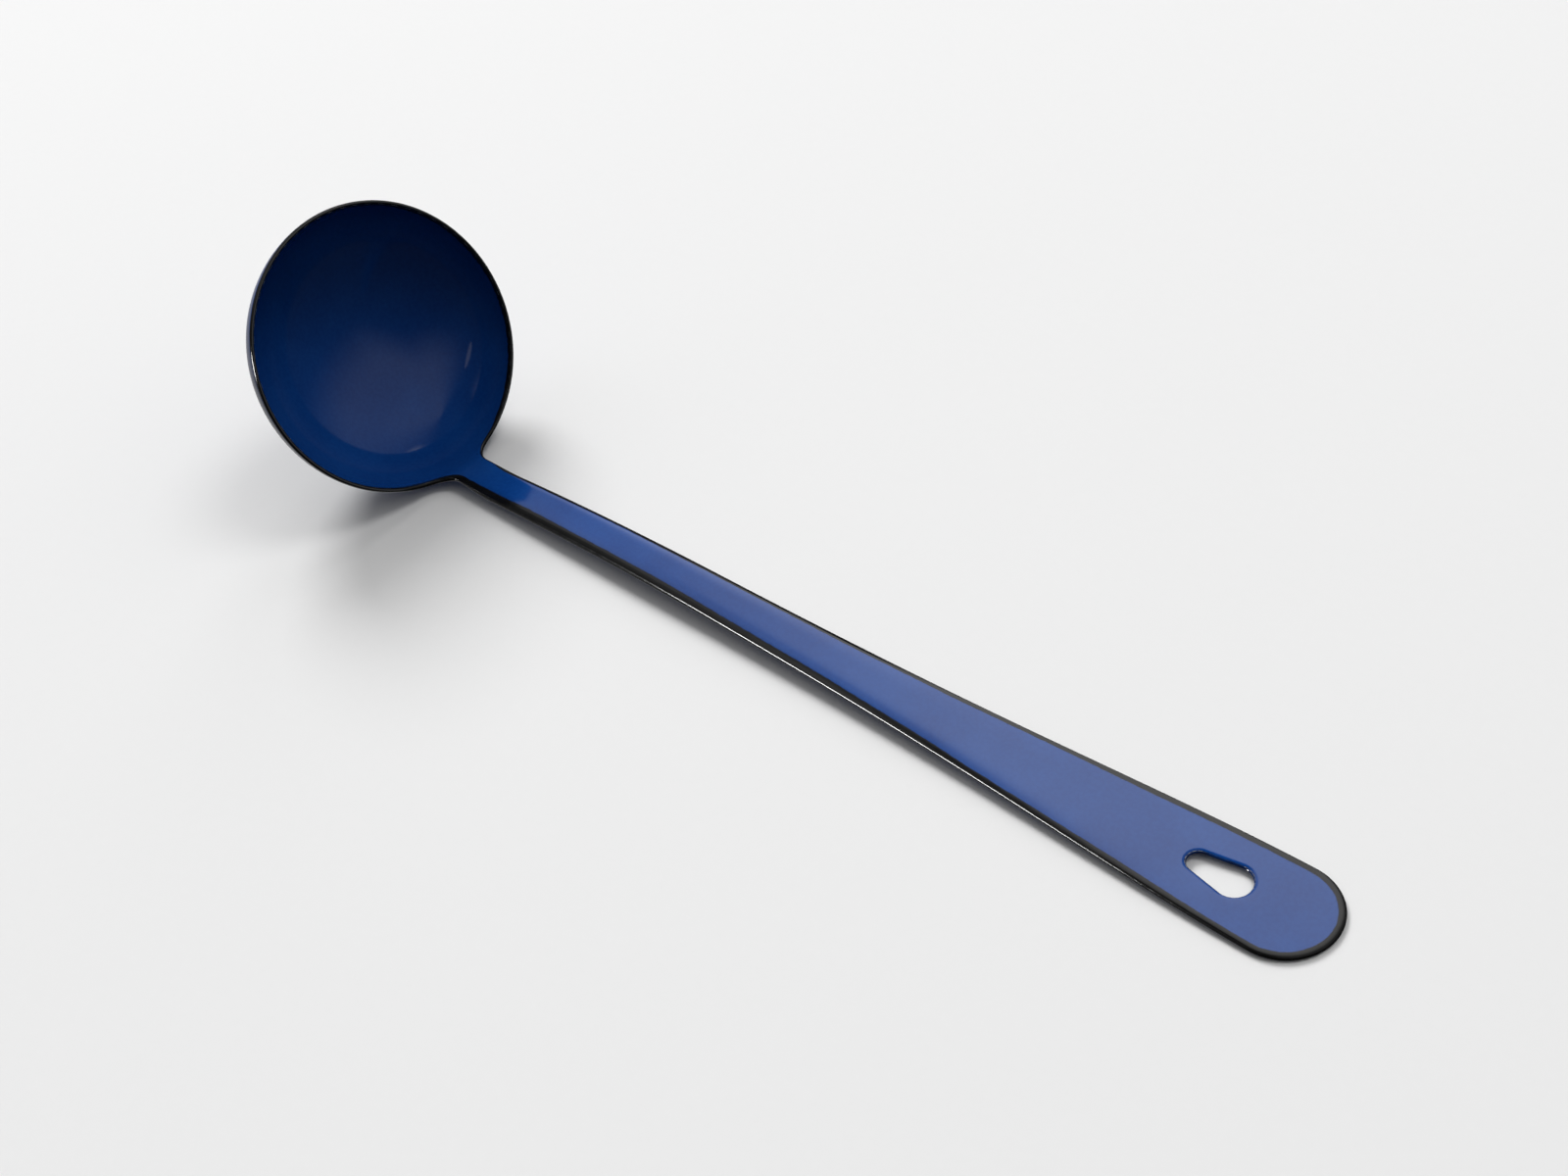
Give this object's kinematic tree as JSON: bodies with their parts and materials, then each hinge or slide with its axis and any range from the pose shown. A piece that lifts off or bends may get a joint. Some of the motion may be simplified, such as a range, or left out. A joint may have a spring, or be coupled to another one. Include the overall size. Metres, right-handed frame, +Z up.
{
  "type": "soup ladle",
  "caption": "Enamelled steel soup ladle: a deep round bowl runs on into a long flat handle as one pressed sheet, with a black edge all round and a teardrop hole to hang it by.",
  "frame": {"origin": "centre of the bounding box, on the table that the ladle lies on", "axes": "+X runs from the bowl to the end of the handle, +Z is up from the table, and Y = 0 is the plane of symmetry"},
  "size_m": [0.3732, 0.0902, 0.0809],
  "materials": {
    "steel": "bare pressed sheet, hidden under the enamel",
    "inside_blue": "glossy fired enamel",
    "outside_blue": "glossy fired enamel",
    "rim_black": "glossy fired enamel",
    "handle_black": "glossy fired enamel",
    "lining_blue": "glossy fired enamel"
  },
  "bodies": {
    "root": {"steel_pressing": "steel", "inside_enamel": "inside_blue", "outside_enamel": "outside_blue", "bowl_rim_edge": "rim_black", "handle_edge": "handle_black", "hole_lining": "lining_blue"}
  },
  "joints": []
}
